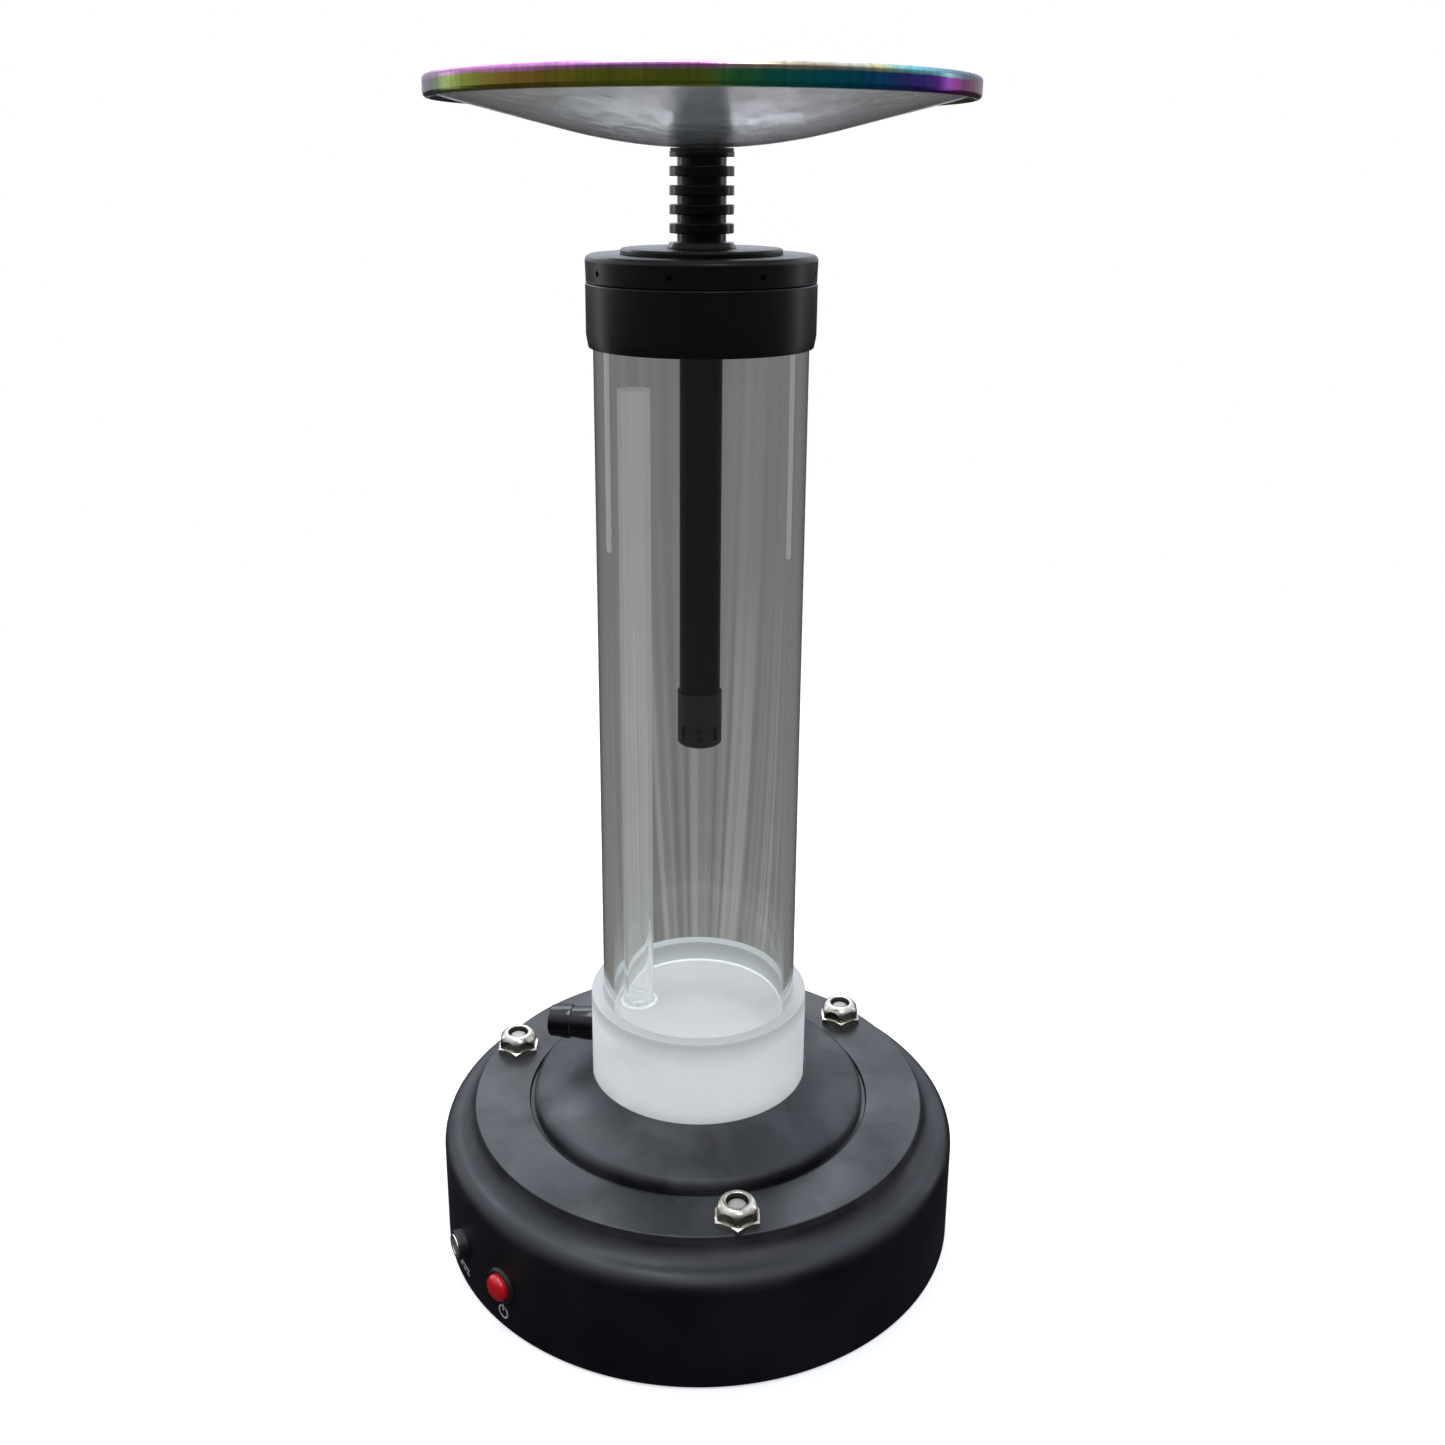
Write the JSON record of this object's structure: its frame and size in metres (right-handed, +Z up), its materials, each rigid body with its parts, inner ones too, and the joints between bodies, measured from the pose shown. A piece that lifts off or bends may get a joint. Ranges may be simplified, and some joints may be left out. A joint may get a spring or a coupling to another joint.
{
  "type": "tabletop water pipe with a lit base",
  "caption": "Tabletop water pipe: clear tube on a lit round base, black cap and ribbed neck, glass tray with a rainbow rim, side hose barb, spot lights, power socket and red button.",
  "frame": {"origin": "on the standing surface under the rubber feet, at the tube's axis", "axes": "+Z up along the tube, -Y the front, +X to the right seen from the front"},
  "size_m": [0.218, 0.218, 0.471],
  "materials": {
    "shell_black": "fine satin-matte moulded plastic",
    "plate_black": "matte",
    "foot_rubber": "matte",
    "screw_steel": "zinc plated",
    "seal_rubber": "satin",
    "frosted_acrylic": "frosted, translucent white",
    "board_white": "matte",
    "led_white": "moulded",
    "board_green": "solder mask",
    "chip_black": "moulded",
    "wire_black": "satin sheath",
    "bezel_chrome": "bright nickel plated",
    "lamp_lens": "diffused resin",
    "jack_black": "satin",
    "jack_nickel": "bright nickel",
    "button_red": "glossy",
    "terminal_brass": "tinned brass",
    "spring_steel": "bright wire",
    "mark_white": "screen print",
    "clear_acrylic": "polished clear",
    "gloss_black": "glossy",
    "cap_black": "satin",
    "ball_steel": "polished",
    "stem_black": "glossy",
    "tray_glass": "clear with a smoky tint",
    "rim_rainbow": "iridescent coating, green to violet and blue",
    "grommet_grey": "matte silicone"
  },
  "bodies": {
    "root": {"base_shell": "shell_black", "bottom_plate": "plate_black", "rubber_feet": "foot_rubber", "plate_screws": "screw_steel", "collar_gasket": "seal_rubber", "frosted_collar": "frosted_acrylic", "collar_screws": "screw_steel", "led_board": "board_white", "ring_leds": "led_white", "board_screws": "screw_steel", "driver_board": "board_green", "driver_parts": "chip_black", "wiring": "wire_black", "spot_bezel_1": "bezel_chrome", "spot_bezel_2": "bezel_chrome", "spot_bezel_3": "bezel_chrome", "spot_led_1": "lamp_lens", "spot_led_2": "lamp_lens", "spot_led_3": "lamp_lens", "spot_nuts": "screw_steel", "dc_jack_body": "jack_black", "dc_jack_sleeve": "jack_nickel", "dc_jack_pin": "jack_nickel", "dc_jack_nut": "screw_steel", "switch_bezel": "jack_black", "switch_body": "jack_black", "switch_terminals": "terminal_brass", "switch_nut": "screw_steel", "switch_spring": "spring_steel", "wall_marks": "mark_white", "main_tube": "clear_acrylic", "hose_riser": "clear_acrylic", "riser_weld": "clear_acrylic", "hose_port": "gloss_black", "port_seal": "seal_rubber"},
    "head": {"cap_skirt": "cap_black", "cap_orings": "seal_rubber", "cap_lid": "cap_black", "cap_plate": "cap_black", "downstem": "stem_black", "diffuser": "seal_rubber", "stem_neck": "stem_black", "neck_washer": "seal_rubber"},
    "tray": {"tray_glass": "tray_glass", "tray_rim": "rim_rainbow"},
    "bowl_seal": {"bowl_grommet": "grommet_grey"},
    "purge_1": {"purge_ball_1": "ball_steel"},
    "purge_2": {"purge_ball_2": "ball_steel"},
    "purge_3": {"purge_ball_3": "ball_steel"},
    "button": {"switch_button": "button_red"}
  },
  "joints": [
    {"name": "head_lift", "type": "slide", "parent": "root", "child": "head", "axis": [0, 0, 1], "range_m": [0, 0.18]},
    {"name": "tray_lift", "type": "slide", "parent": "head", "child": "tray", "axis": [0, 0, 1], "range_m": [0, 0.03]},
    {"name": "grommet_pull", "type": "slide", "parent": "tray", "child": "bowl_seal", "axis": [0, 0, 1], "range_m": [0, 0.03]},
    {"name": "purge_ball_1_lift", "type": "slide", "parent": "head", "child": "purge_1", "axis": [0, 0, 1], "range_m": [0, 0.0025]},
    {"name": "purge_ball_2_lift", "type": "slide", "parent": "head", "child": "purge_2", "axis": [0, 0, 1], "range_m": [0, 0.0025]},
    {"name": "purge_ball_3_lift", "type": "slide", "parent": "head", "child": "purge_3", "axis": [0, 0, 1], "range_m": [0, 0.0025]},
    {"name": "button_press", "type": "slide", "parent": "root", "child": "button", "axis": [0.7009, 0.7133, 0], "range_m": [0, 0.0022], "stiffness_N_per_m": 500, "deforming": ["switch_spring"]}
  ]
}
